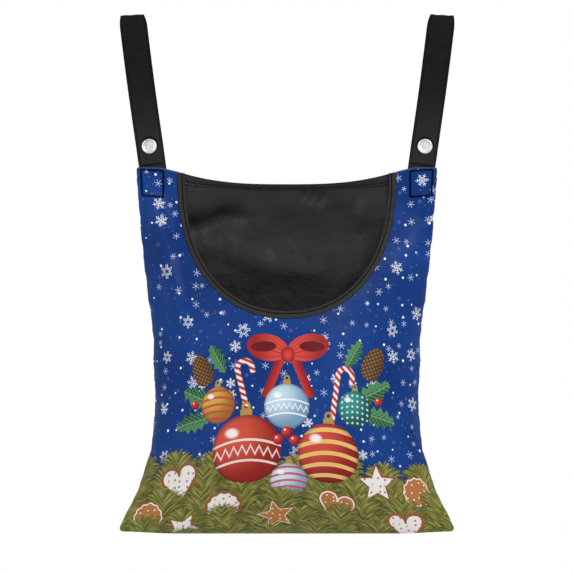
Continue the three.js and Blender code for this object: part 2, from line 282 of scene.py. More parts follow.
def smooth_piece(mesh):
    """A smooth-shaded piece of the mesh's own name."""
    piece = bpy.data.objects.new(mesh.name, mesh)
    bpy.context.scene.collection.objects.link(piece)
    for polygon in mesh.polygons:
        polygon.use_smooth = True
    return piece


def new_cloth(name, points, flat, closed_across=False):
    """A piece of cloth from rows of points, all of one length, with its flat pattern as a UV map."""
    rows, columns = points.shape[:2]
    mesh = bpy.data.meshes.new(name)
    faces = []
    for row in range(rows - 1):
        for column in range(columns if closed_across else columns - 1):
            here = row * columns + column
            beside = row * columns + (column + 1) % columns
            faces.append((here, beside, beside + columns, here + columns))
    mesh.from_pydata(points.reshape(-1, 3).tolist(), [], faces)
    pattern = mesh.uv_layers.new(name="flat_pattern")
    corners = np.zeros(len(mesh.loops), dtype=np.int32)
    mesh.loops.foreach_get("vertex_index", corners)
    pattern.data.foreach_set("uv", flat.reshape(-1, 2)[corners].astype(np.float32).ravel())
    mesh.update()
    return smooth_piece(mesh)


def finish_cloth(piece, thickness, lining=False):
    """Gives a sheet its thickness, inwards from its face, and applies the modifier."""
    bpy.ops.object.select_all(action="DESELECT")
    piece.select_set(True)
    bpy.context.view_layer.objects.active = piece
    wall = piece.modifiers.new("wall", "SOLIDIFY")
    wall.thickness = thickness
    wall.offset = -1.0
    if lining:
        wall.material_offset = 1
    bpy.ops.object.modifier_apply(modifier=wall.name)


def close_ends(piece, columns):
    """Closes the two ends of a tube of cloth with one face each."""
    mesh = piece.data
    last = len(mesh.vertices) - columns
    points = [tuple(vertex.co) for vertex in mesh.vertices]
    faces = [tuple(polygon.vertices) for polygon in mesh.polygons]
    faces += [tuple(range(columns))[::-1], tuple(range(last, last + columns))]
    flat = {}
    for polygon in mesh.polygons:
        for corner, loop in zip(polygon.vertices, polygon.loop_indices):
            flat[corner] = tuple(mesh.uv_layers[0].data[loop].uv)
    mesh.clear_geometry()
    mesh.from_pydata(points, [], faces)
    pattern = mesh.uv_layers.get("flat_pattern") or mesh.uv_layers.new(name="flat_pattern")
    for polygon in mesh.polygons:
        for corner, loop in zip(polygon.vertices, polygon.loop_indices):
            pattern.data[loop].uv = flat[corner]
    for polygon in mesh.polygons:
        polygon.use_smooth = len(polygon.vertices) == 4
    mesh.update()


def new_look(name, colour, roughness, shine):
    """A material with a plain colour, roughness and specular level, for its pattern to be laid over."""
    look = bpy.data.materials.new(name)
    look.use_nodes = True
    surface = look.node_tree.nodes["Principled BSDF"]
    surface.inputs["Base Color"].default_value = (*colour, 1)
    surface.inputs["Roughness"].default_value = roughness
    surface.inputs["Specular IOR Level"].default_value = shine
    return look


# Mouth line and outline of the front, each from the top left corner round to the top right one.
turns = np.linspace(0, np.pi / 2, 200)
mouth_arc = np.stack([
    -mouth_half_width * np.cos(turns) ** mouth_bend,
    bag_top - corner_fall - mouth_straight - mouth_depth * np.sin(turns) ** mouth_bend,
], axis=1)
mouth_start = np.array([[-mouth_half_width, bag_top - corner_fall]])
half_mouth = np.concatenate([mouth_start, mouth_arc])
side_heights = np.concatenate([
    np.linspace(bag_top, bag_top - 0.003, 12),
    np.linspace(bag_top - 0.004, bag_bottom + 0.007, 300),
    bag_bottom + 0.0057 * (1 - np.sin(np.linspace(0, np.pi / 2, 24))),
])
side_line = np.stack([-side_edge(side_heights), side_heights], axis=1)
side_shares = np.linspace(0, 1, 121)
foot_shares = np.linspace(0, 1, 61)[1:]
mouth_half = resample(half_mouth, np.concatenate([0.62 * side_shares, 0.62 + 0.38 * foot_shares]))
outline_side = resample(side_line, side_shares ** 1.25)
foot_line = np.stack([outline_side[-1, 0] * (1 - foot_shares), np.full_like(foot_shares, bag_bottom)], axis=1)
outline_half = np.concatenate([outline_side, foot_line])
mouth_line = np.concatenate([mouth_half, (mouth_half * [-1, 1])[-2::-1]])
outline = np.concatenate([outline_half, (outline_half * [-1, 1])[-2::-1]])

binding_width = 0.0064
reach = np.hypot(*(outline - mouth_line).T)
edge_steps = np.array([turning, 0.0012, 0.0008, 0.0005, 0.0002, 0.0])
mouth_ratio = mouth_line[:, 0] / half_width(mouth_line[:, 1])
outline_ratio = outline[:, 0] / half_width(outline[:, 1])
inner_share = binding_width / reach
outer_share = 1 - edge_steps[0] / reach
shares = [inner_share * part for part in np.linspace(0, 1, 6)]
shares += [inner_share + (outer_share - inner_share) * part for part in np.linspace(0, 1, 84)[1:]]
shares += [1 - step / reach for step in edge_steps[1:]]
places = []
for share in shares:
    row_z = mouth_line[:, 1] + (outline[:, 1] - mouth_line[:, 1]) * share
    row_x = (mouth_ratio + (outline_ratio - mouth_ratio) * share) * half_width(row_z)
    places.append(np.stack([row_x, row_z], axis=-1))
places = np.array(places)
x, z = places[..., 0], settle_top(places[..., 0], places[..., 1])
front_points = np.stack([x, front_face(x, z), z], axis=-1)
front_flat = flat_pattern(x, z, -front_belly)
front = new_cloth("front_cloth", corners_up(front_points)[::-1], front_flat[::-1])
finish_cloth(front, cloth_thickness, lining=True)
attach(front, "root")
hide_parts("front_panel")
print_cloth = new_look("print", (0.0116, 0.045, 0.2), 0.42, 0.10)
lining_cloth = new_look("lining", (0.012, 0.012, 0.0125), 0.5, 0.24)
front.data.materials.append(print_cloth)
front.data.materials.append(lining_cloth)


# Print of the front: a night sky full of snow, a bank of fir boughs with biscuits along the bottom, and a
# bunch of baubles, canes, cones, holly and a ribbon bow in the middle. All of it is worked out in millimetres
# on the flat pattern, one motif laid over another, and a fine weave and small creases are added as relief.
def add_node(tree, kind, inputs, **settings):
    """A new node with its settings. Each input is linked where a socket or a Number is given, or else set."""
    node = tree.nodes.new("ShaderNode" + kind)
    for name, value in settings.items():
        setattr(node, name, value)
    for name, item in inputs.items():
        if isinstance(item, Number):
            item = item.socket
        if isinstance(item, bpy.types.NodeSocket):
            tree.links.new(item, node.inputs[name])
        else:
            node.inputs[name].default_value = item
    return node


class Number:
    """A number that varies from place to place, worked out by Math nodes."""

    def __init__(self, socket):
        self.socket = socket

    def sum(self, kind, *others):
        inputs = dict(enumerate((self, *others)))
        return Number(add_node(self.socket.id_data, "Math", inputs, operation=kind).outputs[0])

    def __add__(self, other):
        return self.sum("ADD", other)

    def __sub__(self, other):
        return self.sum("SUBTRACT", other)

    def __mul__(self, other):
        return self.sum("MULTIPLY", other)

    def __truediv__(self, other):
        return self.sum("DIVIDE", other)

    def __pow__(self, other):
        return self.sum("POWER", other)

    def __lt__(self, other):
        return self.sum("LESS_THAN", other)

    def __gt__(self, other):
        return self.sum("GREATER_THAN", other)

    def __abs__(self):
        return self.sum("ABSOLUTE")

    def below(self, other):
        return self.sum("MINIMUM", other)

    def above(self, other):
        return self.sum("MAXIMUM", other)

    def wave(self):
        return self.sum("SINE")

    def saw(self, height):
        """Up to a height and down again, over and over."""
        return self.sum("PINGPONG", height)


def apart(vector, count=2):
    """The first numbers of a vector or colour."""
    parts = []
    for which in range(count):
        inputs = {0: vector, 1: [float(which == part) for part in range(3)]}
        node = add_node(vector.id_data, "VectorMath", inputs, operation="DOT_PRODUCT")
        parts.append(Number(node.outputs["Value"]))
    return parts


def together(first, second):
    """A vector of two numbers."""
    return add_node(first.socket.id_data, "CombineXYZ", {0: first, 1: second}).outputs[0]


def eased(number, low, high, start=0.0, end=1.0):
    """A number taken from the range low to high into start to end, and held there outside it."""
    inputs = {"Value": number, "From Min": low, "From Max": high, "To Min": start, "To Max": end}
    node = add_node(number.socket.id_data, "MapRange", inputs, interpolation_type="SMOOTHSTEP")
    return Number(node.outputs[0])


def lay(ground, colour, share):
    """Colour laid over the ground where share is 1. Each may be three numbers or a socket."""
    node = add_node(share.socket.id_data, "Mix", {"Factor": share}, data_type="RGBA")
    for name, item in (("A", ground), ("B", colour)):
        socket = [found for found in node.inputs if found.name == name and found.type == "RGBA"][0]
        if isinstance(item, tuple):
            socket.default_value = (*item, 1)
        else:
            node.id_data.links.new(item, socket)
    return [found for found in node.outputs if found.type == "RGBA"][0]


def mottle(place, scale, detail=2.0, roughness=0.5):
    """Soft uneven noise from 0 to 1 at a place."""
    inputs = {"Vector": place, "Scale": scale, "Detail": detail, "Roughness": roughness}
    return Number(add_node(place.id_data, "TexNoise", inputs, noise_dimensions="2D").outputs[0])


def motif(place, middle, turn, size):
    """Across and up within one motif, in its own size, from its own middle."""
    inputs = {
        "Vector": place,
        "Location": (*middle, 0),
        "Rotation": (0, 0, math.radians(turn)),
        "Scale": (size, size, 1),
    }
    return apart(add_node(place.id_data, "Mapping", inputs, vector_type="TEXTURE").outputs[0])


def distance(across, up):
    """How far a point is from the middle."""
    node = add_node(across.socket.id_data, "VectorMath", {0: together(across, up)}, operation="LENGTH")
    return Number(node.outputs["Value"])


def strewn(place, spacing, evenness, shift):
    """Motifs strewn about: across and up from the nearest one's middle, and three random numbers."""
    tree = place.id_data
    moved = add_node(tree, "Mapping", {"Vector": place, "Location": (shift, shift * 0.7, 0)}).outputs[0]
    inputs = {"Vector": moved, "Scale": 1 / spacing, "Randomness": evenness}
    cells = add_node(tree, "TexVoronoi", inputs, voronoi_dimensions="2D")
    inputs = {0: moved, 1: cells.outputs["Position"]}
    from_middle = add_node(tree, "VectorMath", inputs, operation="SUBTRACT")
    return (*apart(from_middle.outputs[0]), *apart(cells.outputs["Color"], 3))


def printed(draw):
    """Draws a motif in a node group of its own, so that the print itself stays a plain list of layers.
    Each layer's place hangs on the print below it by a ten-millionth of a millimetre, which can't be seen:
    the layers are then worked out one after another, and one material can hold them all."""

    def laid(ground, place, *given):
        group = bpy.data.node_groups.new(draw.__name__, "ShaderNodeTree")
        group.interface.new_socket("Ground", in_out="INPUT", socket_type="NodeSocketColor")
        group.interface.new_socket("Place", in_out="INPUT", socket_type="NodeSocketVector")
        group.interface.new_socket("Print", in_out="OUTPUT", socket_type="NodeSocketColor")
        under = group.nodes.new("NodeGroupInput")
        over = group.nodes.new("NodeGroupOutput")
        inputs = {0: under.outputs[0], 1: (1e-7, 1e-7, 1e-7), 2: under.outputs[1]}
        tie = add_node(group, "VectorMath", inputs, operation="MULTIPLY_ADD")
        group.links.new(draw(under.outputs[0], tie.outputs[0], *given), over.inputs[0])
        return add_node(place.id_data, "Group", {0: ground, 1: place}, node_tree=group).outputs[0]

    return laid


@printed
def snowflakes(ground, place, spacing, shift, small, large, share, white, twigs):
    """Snowflakes, each turned its own way: plain with six arms, or with twigs or a ring and double arms."""
    across, up, size, spin, kind = strewn(place, spacing, 0.75, shift)
    size = size * (large - small) + small
    away = distance(across, up) / size
    turn = (up.sum("ARCTAN2", across) + spin * 6.3 + 12.6).saw(math.pi / 6)
    along = away * turn.sum("COSINE")
    off = away * turn.wave()
    line = size ** -1.0 * 0.27
    shape = (off < line) * (along < 1.0)
    if twigs:
        for start, length in ((0.32, 0.24), (0.60, 0.30)):
            step = along - start
            out = step * 0.5 + off * 0.866
            beside = abs(off * 0.5 - step * 0.866)
            shape = shape.above((beside < line) * (out > 0) * (out < length))
        woven = (abs(off - 0.12) < line * 0.8) * (along < 0.95)
        woven = woven.above((abs(along - 0.45) < line * 0.8) * (off < 0.26))
        woven = woven.above((abs(along - 0.75) < line * 0.8) * (off < 0.12))
        choice = kind > 0.42
        shape = shape * (choice * -1.0 + 1.0) + woven * choice
    shape = shape * ((kind * 7.31).sum("FRACT") < share)
    return lay(ground, white, shape * 0.95)


@printed
def snow_dots(ground, place, spacing, shift, small, large, share, white, strength):
    """Round dots of snow."""
    across, up, size, _, kind = strewn(place, spacing, 0.8, shift)
    size = size * (large - small) + small
    shape = eased(distance(across, up) / size, 0.75, 1.15, 1, 0) * (kind < share)
    return lay(ground, white, shape * strength)


@printed
def fir_boughs(ground, place, spacing, shift, foot, reach):
    """A row of fir boughs: needles leave the upright stem of each to both sides, rise and droop over."""
    across, up = apart(place)
    number = (across / spacing + shift).sum("FLOOR")
    own = add_node(place.id_data, "TexWhiteNoise", {"W": number}, noise_dimensions="1D")
    tall, lean, pale = apart(own.outputs["Color"], 3)
    rise = up - foot + tall * 14.0
    side = across - (number + 0.5 - shift) * spacing - (lean - 0.5) * (rise * -0.25 + spacing * 0.35)
    off = abs(side)
    row = rise - off * 1.5 + off * off * 0.042
    needles = mottle(together(row + number * 37.0, side * 0.16 + pale * 9.0), 0.42, 1.5, 0.6)
    strokes = mottle(together(row + number * 11.0, side * 0.13 + 40.0), 0.85, 1.0)
    long = eased(row, reach, reach - 24.0, 3.0, spacing * 0.48)
    edge = off / long - needles * 1.3 - strokes * 0.9 + 0.12
    inside = ((edge < 0.0) * (row < reach)).above(rise < reach * 0.32)
    shade = eased(needles, 0.32, 0.64)
    colour = lay((0.098, 0.100, 0.016), (0.225, 0.220, 0.048), shade)
    colour = lay(colour, (0.43, 0.415, 0.145), eased(strokes, 0.52, 0.68, 0, 0.8) * shade)
    colour = lay(colour, (0.040, 0.044, 0.010), eased(strokes, 0.32, 0.45, 0.65, 0))
    colour = lay(colour, (0.050, 0.054, 0.011), eased(off / spacing, 0.22, 0.55, 0, 0.6))
    shadow = eased(edge, 0.0, 0.40, 0.55, 0) * (edge > 0.0) * (row < reach + 3.0)
    return lay(lay(ground, (0.012, 0.018, 0.008), shadow), colour, inside)


@printed
def bauble(ground, place, middle, size, light, deep, trim, trim_kind):
    """A glass bauble with a gold cap, painted with a lit side, a dark side and a band of ornament."""
    across, up = motif(place, middle, 0, size)
    away = distance(across, up)
    cap = (abs(across) < 0.17) * (up > 0.8) * (up < 1.16)
    ring = abs(distance(across, up - 1.24) - 0.10) < 0.035
    ground = lay(ground, (0.42, 0.26, 0.06), cap.above(ring))
    lit = distance(across + 0.38, up - 0.42)
    colour = lay(light, deep, eased(lit, 0.25, 1.35))
    bend = up + across * across * 0.22
    if trim_kind == "zigzag":
        line = abs(bend - (across * 1.3).saw(0.16) * 1.6 + 0.12) < 0.045
        line = line.above(abs(abs(bend) - 0.30) < 0.035)
    elif trim_kind == "stripes":
        line = (bend + 3.0).saw(0.19) < 0.07
    else:
        line = distance((across + 3.0).saw(0.15) - 0.15, (bend + 3.0).saw(0.15) - 0.15) < 0.065
    colour = lay(colour, trim, line * 0.85)
    shine = distance(across + 0.42, (up - 0.50) * 1.4)
    colour = lay(colour, (0.92, 0.90, 0.88), eased(shine, 0.10, 0.26, 0.9, 0))
    colour = lay(colour, (0.015, 0.008, 0.012), eased(away, 0.86, 1.0, 0, 0.45))
    return lay(ground, colour, away < 1.0)


@printed
def candy_cane(ground, place, middle, turn):
    """A striped cane with its hook at the top."""
    across, up = motif(place, middle, turn, 1.0)
    stem = abs(across).above((up - 10.0) * 9.0).above((up + 44.0) * -9.0)
    tip = abs(across - 14.0).above((up - 10.0) * 9.0).above((up - 4.0) * -9.0)
    hook = abs(distance(across - 7.0, up - 10.0) - 7.0).above((up - 10.0) * -9.0)
    off = stem.below(tip).below(hook)
    stripe = (up + across * 0.8 + 90.0).saw(3.2) < 1.6
    colour = lay((0.86, 0.82, 0.78), (0.52, 0.03, 0.03), stripe)
    colour = lay(colour, (0.10, 0.02, 0.03), eased(off, 1.2, 2.8, 0, 0.5))
    return lay(ground, colour, off < 2.7)


@printed
def pine_cone(ground, place, middle, turn, size):
    """A brown cone with rows of scales."""
    across, up = motif(place, middle, turn, size)
    inside = distance(across * 1.45, up + across * across * 0.3) < 1.0
    first = ((up * 3.6 + across * 3.2) + 20.0).sum("FRACT")
    second = ((up * 3.6 - across * 3.2) + 20.0).sum("FRACT")
    scale = first.below(second)
    colour = lay((0.055, 0.022, 0.008), (0.30, 0.155, 0.055), eased(scale, 0.05, 0.75))
    colour = lay(colour, (0.03, 0.012, 0.006), eased(across, -0.2, 0.75, 0, 0.5))
    return lay(ground, colour, inside)


@printed
def holly_leaf(ground, place, middle, turn, size):
    """A holly leaf with a wavy pointed edge and a pale midrib."""
    across, up = motif(place, middle, turn, size)
    wide = (across * across * -1.0 + 1.0).above(0.0) ** 0.7
    half = wide * ((across + 6.2).saw(0.2) * 1.3 + 0.30)
    inside = (abs(up) < half) * (abs(across) < 1.0)
    colour = lay((0.018, 0.105, 0.045), (0.065, 0.225, 0.085), eased(up, -0.12, 0.25))
    vein = ((abs(up) * 1.3 - across + 6.0).saw(0.13) < 0.022).above(abs(up) < 0.030)
    colour = lay(colour, (0.20, 0.36, 0.18), vein * 0.8)
    return lay(ground, colour, inside)


@printed
def berry(ground, place, middle, size):
    """A round red berry with a light spot."""
    across, up = motif(place, middle, 0, size)
    colour = lay((0.62, 0.05, 0.04), (0.22, 0.01, 0.015), eased(distance(across + 0.3, up - 0.3), 0.2, 1.3))
    colour = lay(colour, (0.95, 0.80, 0.76), distance(across + 0.35, up - 0.4) < 0.2)
    return lay(ground, colour, distance(across, up) < 1.0)


@printed
def ribbon_bow(ground, place, middle, size):
    """A red ribbon bow: two tails, two loops and the knot between them."""
    across, up = motif(place, middle, 0, size)
    side = abs(across)
    run = side - 0.16 + up * 0.42
    tail = (abs(run) < 0.13) * (up < 0.0) * (up - side * 0.35 > -1.35)
    colour = lay((0.50, 0.035, 0.03), (0.24, 0.012, 0.018), eased(run, -0.12, 0.14))
    ground = lay(ground, colour, tail)
    loop = distance((side - 0.56) * 1.75, (up - 0.14 - side * 0.16) * 2.7)
    colour = lay((0.66, 0.075, 0.055), (0.33, 0.02, 0.02), eased(side, 0.15, 0.95))
    crease = ((up - 0.02 - side * 0.25) / (side + 0.22) * 4.2 + 10.0).saw(0.5)
    crease = eased(crease, 0.0, 0.28, 0.75, 0) * eased(side, 0.15, 0.62, 1, 0.15)
    colour = lay(colour, (0.20, 0.010, 0.014), crease)
    hollow = distance((side - 0.66) * 2.9, (up - 0.26) * 7.0)
    colour = lay(colour, (0.13, 0.008, 0.012), hollow < 1.0)
    ground = lay(ground, colour, loop < 1.0)
    knot = distance(across * 5.4, (up - 0.02) * 4.6)
    colour = lay((0.60, 0.06, 0.05), (0.26, 0.012, 0.016), eased(knot, 0.2, 1.1))
    return lay(ground, colour, knot < 1.0)


@printed
def biscuit(ground, place, middle, turn, size, iced, shape):
    """A biscuit, round, heart or star, iced white with coloured beads or brown with white piping."""
    across, up = motif(place, middle, turn, size)
    if shape == "round":
        edge = distance(across, up) + (up.sum("ARCTAN2", across) * 12.0).sum("COSINE") * 0.035
    elif shape == "heart":
        side = abs(across)
        lobes = distance(side - 0.46, up - 0.28) + 0.44
        point = (side * 0.78 - up * 0.626 + 0.2565).above((up + side * 0.344) * 3.0 + 0.1)
        edge = lobes.below(point)
    else:
        away = distance(across, up)
        turned = (up.sum("ARCTAN2", across) + 12.566).saw(math.pi / 5)
        edge = away * (turned.sum("COSINE") * 0.62 + turned.wave() * 1.46) * 1.45
    rim = edge < 1.0
    top = edge < 0.84
    beads = strewn(place, 6.6, 0.45, size + turn)
    if iced:
        ground = lay(ground, (0.28, 0.10, 0.035), rim)
        ground = lay(ground, (0.80, 0.76, 0.74), top)
        bead = (distance(beads[0], beads[1]) < 1.15) * top
        tint = lay((0.45, 0.05, 0.06), (0.10, 0.17, 0.40), beads[4] > 0.4)
        return lay(ground, lay(tint, (0.42, 0.46, 0.10), beads[4] > 0.7), bead * 0.85)
    ground = lay(ground, (0.25, 0.085, 0.022), rim)
    ground = lay(ground, (0.42, 0.165, 0.05), top)
    piping = (abs(edge - 0.88) < 0.045).above((distance(beads[0], beads[1]) < 0.85) * top)
    return lay(ground, (0.86, 0.78, 0.70), piping * 0.9)


def pattern_place(cloth):
    """Where a point lies on the cloth's flat pattern, in millimetres."""
    return add_node(cloth.node_tree, "UVMap", {}, uv_map="flat_pattern").outputs[0]


def feed(look, name, socket):
    """Links a socket to one of the inputs of a material's surface."""
    look.node_tree.links.new(socket, look.node_tree.nodes["Principled BSDF"].inputs[name])


def emboss(look, height, depth):
    """Raises a surface where a number is high, by a depth in metres."""
    relief = add_node(look.node_tree, "Bump", {"Distance": depth, "Height": height})
    feed(look, "Normal", relief.outputs[0])


def raise_weave(cloth, pitch, depth, creases, crease_depth):
    """Raises the threads of a plain weave on a cloth, and soft creases, all in millimetres."""
    place = pattern_place(cloth)
    across, up = apart(place)
    threads = (across * (2 * math.pi / pitch)).wave() * (up * (2 * math.pi / pitch)).wave()
    emboss(cloth, mottle(place, 1 / creases, 3.0) * crease_depth + threads * depth, 0.001)
    return place, threads


def vary_gloss(cloth, place, scale, low, high):
    """Lets a cloth's roughness wander between two values."""
    feed(cloth, "Roughness", eased(mottle(place, scale, 2.0), 0.3, 0.7, low, high).socket)


place, threads = raise_weave(print_cloth, 0.5, 0.006, 26.0, 0.9)
vary_gloss(print_cloth, place, 0.05, 0.39, 0.48)
ground = lay((0.0018, 0.030, 0.168), (0.0055, 0.044, 0.222), eased(mottle(place, 0.014, 1.0), 0.3, 0.7))
for draw, *given in (
    (snow_dots, 7.0, 3.0, 0.35, 0.65, 0.40, (0.20, 0.26, 0.55), 0.6),
    (snow_dots, 21.0, 31.0, 1.2, 1.9, 0.70, (0.12, 0.12, 0.36), 0.52),
    (snow_dots, 20.0, 57.0, 0.80, 1.40, 0.80, (0.86, 0.88, 0.95), 1.0),
    (snowflakes, 17.5, 11.0, 2.4, 4.1, 0.50, (0.46, 0.52, 0.74), False),
    (snowflakes, 25.0, 83.0, 4.2, 7.8, 0.38, (0.84, 0.87, 0.94), True),
    (fir_boughs, 40.0, 0.18, -472.0, 56.0),
    (fir_boughs, 36.0, 0.71, -486.0, 56.0),
    (pine_cone, (-82, -340), 20, 15),
    (pine_cone, (84, -334), -24, 16),
    (holly_leaf, (-84, -366), 160, 20),
    (holly_leaf, (-92, -388), 195, 19),
    (holly_leaf, (84, -361), 24, 20),
    (holly_leaf, (90, -384), -16, 19),
    (holly_leaf, (-66, -330), 118, 15),
    (holly_leaf, (64, -326), 60, 15),
    (candy_cane, (-44, -352), 14),
    (candy_cane, (47, -356), -8),
    (ribbon_bow, (1, -330), 34),
    (bauble, (65, -377), 17, (0.03, 0.27, 0.24), (0.008, 0.09, 0.09), (0.75, 0.80, 0.70), "dots"),
    (bauble, (-66, -373), 17, (0.62, 0.38, 0.08), (0.30, 0.14, 0.02), (0.52, 0.05, 0.04), "stripes"),
    (bauble, (0, -377), 21, (0.50, 0.66, 0.76), (0.17, 0.30, 0.44), (0.90, 0.92, 0.95), "zigzag"),
    (bauble, (2, -449), 18, (0.62, 0.72, 0.80), (0.20, 0.32, 0.48), (0.50, 0.05, 0.05), "stripes"),
    (bauble, (-38, -417), 33, (0.60, 0.085, 0.050), (0.27, 0.016, 0.014), (0.84, 0.76, 0.70), "zigzag"),
    (bauble, (39, -421), 29, (0.58, 0.070, 0.045), (0.25, 0.014, 0.014), (0.80, 0.55, 0.18), "stripes"),
    (berry, (0, -401), 5.2),
    (berry, (-8, -408), 5.0),
    (berry, (7, -409), 5.0),
    (berry, (-90, -372), 4.2),
    (berry, (90, -369), 4.2),
    (biscuit, (-103, -443), 12, 19, True, "heart"),
    (biscuit, (86, -447), 20, 19, True, "star"),
    (biscuit, (126, -452), -10, 15, False, "round"),
    (fir_boughs, 38.0, 0.62, -506.0, 56.0),
    (biscuit, (-132, -476), -20, 15, False, "round"),
    (biscuit, (-60, -474), 24, 18, True, "round"),
    (biscuit, (46, -474), -14, 18, False, "heart"),
    (fir_boughs, 37.0, 0.15, -528.0, 56.0),
    (biscuit, (-10, -489), 30, 18, False, "star"),
    (biscuit, (113, -488), 8, 18, True, "heart"),
    (biscuit, (-98, -493), -12, 18, True, "star"),
    (fir_boughs, 41.0, 0.83, -552.0, 58.0),
):
    ground = draw(ground, place, *given)
across, up = apart(place)
# Painted highlight: a paler band along the front panel's folded top edge, where the fold catches the light.
top_edge_highlight = up + 143.0 + (abs(across) * -1.0 + 120.6).below(23.0).above(0.0) * 0.2435
ground = lay(ground, (0.13, 0.17, 0.30), eased(top_edge_highlight, -1.5, -0.5, 0.0, 0.6))
# Painted shade: the print is darkened in the hollows between the threads of the weave.
ground = lay(ground, (0.0, 0.0, 0.0), eased(threads, -1.0, 1.0, 0.10, 0.0))
feed(print_cloth, "Base Color", ground)


# Black back: one panel of thin black lining cloth of the same outline as the front, sewn to it at the sides
# and the bottom. Its top edge hangs in a shallow curve between the two straps, and its middle hangs slack.
back_sag = 0.0101
back_belly = 0.026


def back_top(x):
    """Height of the back's top edge, which sags between the two corners of the mouth."""
    return top_edge(x) - back_sag * (1 - np.minimum(np.abs(x) / mouth_half_width, 1) ** 2.85) - 0.0002


back_creases = (
    ((-0.1010, -0.2040), (-0.0430, -0.1880), 0.0130, 0.0080),
    ((-0.0150, -0.2020), (0.0800, -0.2080), 0.0200, 0.0040),
    ((-0.0540, -0.2080), (-0.0500, -0.2300), 0.0060, -0.0008),
    ((0.0430, -0.1620), (0.0480, -0.1880), 0.0070, 0.0026),
    ((0.0760, -0.1600), (0.0700, -0.2000), 0.0080, -0.0026),
    ((-0.0200, -0.1640), (-0.0350, -0.1850), 0.0070, -0.0014),
    ((-0.0450, -0.2300), (0.0300, -0.2450), 0.0100, -0.0022),
    ((-0.1000, -0.2600), (-0.0500, -0.4200), 0.0150, 0.0026),
    ((0.1000, -0.2700), (0.0600, -0.4100), 0.0140, 0.0026),
    ((0.0100, -0.3000), (-0.0200, -0.4300), 0.0160, -0.0020),
    ((-0.0900, -0.4300), (-0.1300, -0.4750), 0.0080, 0.0016),
    ((0.0900, -0.4300), (0.1300, -0.4750), 0.0080, 0.0016),
)
hem_gathers = (
    ((0.0175, -0.1655), (0.0145, -0.1745), 0.0028, 0.0032),
    ((0.0265, -0.1660), (0.0220, -0.1765), 0.0027, 0.0034),
    ((0.0360, -0.1665), (0.0300, -0.1785), 0.0030, 0.0038),
)


def back_folds(x, z):
    """The creases of the slack back cloth and the gathers under its hem; a positive one stands out behind."""
    edge = off_seam(x, z)
    lift = creased(x, z, back_creases) * smooth_step(0.0010, 0.0160, edge)
    lift = lift + puckers(x, z, 262, 2.2, 53, 221, 59)
    uneven = np.sin(x * 83 + 3 * np.sin(z * 37 + 1)) * np.sin(z * 79 + 2 * np.sin(x * 51))
    lift = lift + 0.0004 * uneven * smooth_step(0.002, 0.02, edge)
    below = back_top(x) - z
    gathers = creased(x, z, hem_gathers) * smooth_step(0.004, 0.009, below)
    return lift * smooth_step(0.010, 0.030, below) + gathers


def back_skin(x, z):
    """The back's outer face, before its edges turn in."""
    return seam_plane + gap(z) + skin_out + back_belly * swell(x, z) + back_folds(x, z)


def back_face(x, z):
    """The back panel's outer face."""
    return back_skin(x, z) - turn_in(x, z, back_top(x))


inner_parts = np.linspace(-1, 1, 153)[1:-1]
row_kinds = [("top", step) for step in (*edge_steps[::-1], 0.0030)]
row_kinds += [("middle", part) for part in np.linspace(0, 1, 98)[:-1]]
row_kinds += [("foot", step) for step in (0.0046, 0.0034, 0.0024, *edge_steps)]
middle_top = 0.0046
middle_foot = 0.0060
back_places = []
# A row's width follows from its height and the other way round, so a few rounds settle the two.
for kind, value in row_kinds:
    row_x = inner_parts * 0.13
    for settling in range(6):
        if kind == "top":
            row_z = back_top(row_x) - value
        elif kind == "middle":
            high = back_top(row_x) - middle_top
            row_z = high + (bag_bottom + middle_foot - high) * value
        else:
            row_z = np.full_like(row_x, bag_bottom + value)
        row_x = inner_parts * (side_edge(row_z) - turning)
    left_x = -(side_edge(row_z[0]) - edge_steps[:0:-1])
    right_x = side_edge(row_z[-1]) - edge_steps[1:]
    row_x = np.concatenate([left_x, row_x, right_x])
    row_z = np.concatenate([np.full_like(left_x, row_z[0]), row_z, np.full_like(right_x, row_z[-1])])
    back_places.append(np.stack([row_x, row_z], axis=-1))
back_places = np.array(back_places)
x, z = back_places[..., 0], back_places[..., 1]
back_points = np.stack([x, back_face(x, z), z], axis=-1)
back = new_cloth("back_cloth", corners_up(back_points), flat_pattern(x, z, back_belly))
finish_cloth(back, cloth_thickness)
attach(back, "root")
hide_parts("back_panel")
back.data.materials.append(lining_cloth)
place, threads = raise_weave(lining_cloth, 0.45, 0.005, 17.0, 1.1)
vary_gloss(lining_cloth, place, 0.04, 0.34, 0.50)
across, up = apart(place)
black = lay((0.0085, 0.0085, 0.0090), (0.0175, 0.0175, 0.0180), mottle(place, 0.03, 2.0))
# Painted shade: the hem band is darkened, most over the middle of the mouth, where it faces down.
hem_painted_shade = eased(up, -14.0, -10.0) * eased(abs(across), 40.0, 100.0, 0.60, 0.15)
black = lay(black, (0.0025, 0.0025, 0.0026), hem_painted_shade)
# Painted shade: the lining is darkened in the hollows between the threads of the weave.
black = lay(black, (0.0, 0.0, 0.0), eased(threads, -1.0, 1.0, 0.3, 0.0))
feed(lining_cloth, "Base Color", black)


# Hem of the back: the same cloth folded over to the inside along the top edge and stitched down.
hem_reach = 0.1126
hem_stitch_line = 0.0067
hem_section = [
    (0.0000, 0.00105), (0.0002, 0.00170), (0.0006, 0.00215), (0.0012, 0.00240), (0.0020, 0.00245),
    (0.0032, 0.00235), (0.0044, 0.00230), (0.0056, 0.00222), (0.0062, 0.00200), (hem_stitch_line, 0.00165),
    (0.0072, 0.00215), (0.0080, 0.00265), (0.0088, 0.00255), (0.0092, 0.00200), (0.0092, 0.00125),
]


def hem_size(x):
    """How deep the hem is, as a share of its drawn section: less over the middle of the mouth."""
    return 0.62 + 0.48 * smooth_step(0.055, 0.098, np.abs(x))


